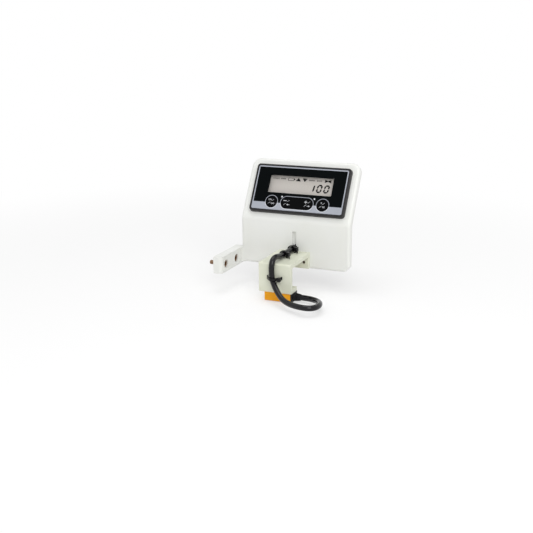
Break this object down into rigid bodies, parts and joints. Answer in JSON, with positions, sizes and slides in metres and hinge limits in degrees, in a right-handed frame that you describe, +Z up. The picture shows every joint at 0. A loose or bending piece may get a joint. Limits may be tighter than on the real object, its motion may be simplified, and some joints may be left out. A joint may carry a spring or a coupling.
{
  "type": "digital readout",
  "caption": "Battery panel meter with display and keys on a leaning carrier plate, a side fixing arm, and a cabled magnetic sensor on a bracket that reaches over a rail.",
  "frame": {"origin": "midway between the two fixing holes, on the arm's left face, which meets the carriage", "axes": "+X right along the rail and away from the carriage, +Y back from the reader, +Z up"},
  "size_m": [0.1285, 0.1382, 0.1184],
  "materials": {
    "white_plastic": "satin",
    "black_plastic": "satin",
    "printed_foil": "satin",
    "clear_window": "gloss",
    "display_glass": "gloss",
    "conductive_rubber": "matte",
    "natural_plastic": "matte",
    "board_laminate": "satin",
    "zinc_steel": "satin",
    "black_steel": "matte",
    "nickel": "gloss",
    "cell_wrap": "gloss",
    "cream_plastic": "satin",
    "orange_plastic": "satin",
    "black_rubber": "matte",
    "cable_jacket": "satin",
    "tie_nylon": "satin"
  },
  "bodies": {
    "readout": {"carrier_plate": "white_plastic", "fixing_screws": "black_steel", "meter_case": "black_plastic", "panel_gasket": "black_rubber", "front_foil": "printed_foil", "display_window": "clear_window", "display_glass": "display_glass", "display_holder": "natural_plastic", "contact_strips": "conductive_rubber", "key_guide": "natural_plastic", "tact_switches": "black_plastic", "circuit_board": "board_laminate", "board_screws": "zinc_steel", "controller_chip": "black_plastic", "cable_header": "natural_plastic", "inner_lead": "cable_jacket", "battery_tray": "black_plastic", "battery_cells": "cell_wrap", "battery_contacts": "nickel", "rear_cover": "black_plastic", "cover_screws": "zinc_steel", "case_boot": "black_rubber", "panel_clamps": "black_plastic", "clamp_screws": "zinc_steel", "sensor_bracket": "cream_plastic", "bracket_screws": "black_steel", "sensor_head": "orange_plastic", "sensor_screws": "zinc_steel", "sensor_boot": "black_rubber", "sensor_cable": "cable_jacket", "front_tie": "tie_nylon", "middle_tie": "tie_nylon", "rear_tie": "tie_nylon"},
    "left_key": {"left_key": "black_plastic"},
    "right_key": {"right_key": "black_plastic"},
    "rocker": {"rocker_key": "black_plastic"}
  },
  "joints": [
    {"name": "left_key_press", "type": "slide", "parent": "readout", "child": "left_key", "axis": [0, 0.866, -0.5], "range_m": [0, 0.0004], "stiffness_N_per_m": 1500, "springref_m": -0.0002},
    {"name": "right_key_press", "type": "slide", "parent": "readout", "child": "right_key", "axis": [0, 0.866, -0.5], "range_m": [0, 0.0004], "stiffness_N_per_m": 1500, "springref_m": -0.0002},
    {"name": "rocker_tilt", "type": "hinge", "parent": "readout", "child": "rocker", "pos_m": [0.0655, 0.03088, 0.05323], "axis": [0, 0.5, 0.866], "range_deg": [-1.5, 1.5], "stiffness_Nm_per_rad": 0.5}
  ]
}
